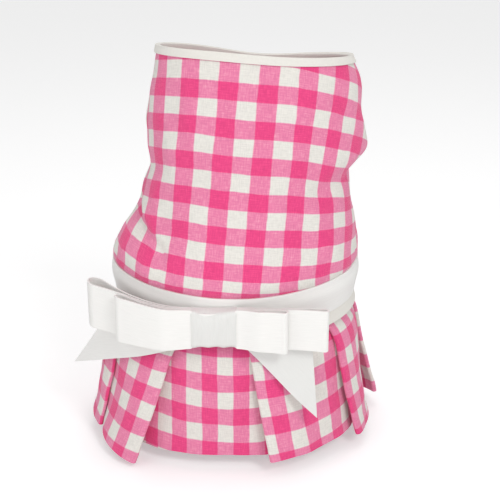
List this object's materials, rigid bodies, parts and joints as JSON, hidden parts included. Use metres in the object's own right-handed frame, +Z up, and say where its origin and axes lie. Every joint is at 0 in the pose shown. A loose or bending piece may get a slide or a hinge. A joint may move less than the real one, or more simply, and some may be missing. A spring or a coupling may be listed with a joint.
{
  "type": "dog dress",
  "caption": "Small dog dress: gingham tube with bound neck and leg openings, satin sash, flat double bow and knife-pleated skirt, held in its worn shape.",
  "frame": {"origin": "middle of the neck opening at its bound rim, where the dress hangs from the neck", "axes": "+Z up along the dress towards the neck, -Y the side with the bow, +X to the right as the bow is looked at"},
  "size_m": [0.2174, 0.153, 0.268],
  "materials": {
    "gingham": "pink and white woven half-inch gingham, matte cotton",
    "binding": "white cotton bias binding, matte",
    "satin": "white satin ribbon, soft sheen"
  },
  "bodies": {
    "root": {"bodice": "gingham", "neck_binding": "binding", "leg_binding_left": "binding", "leg_binding_right": "binding", "waistband": "binding", "waist_sash": "satin", "skirt": "gingham", "bow_tail_left": "satin", "bow_tail_right": "satin", "bow_back_loops": "satin", "bow_front_loops": "satin", "bow_knot": "satin"}
  },
  "joints": []
}
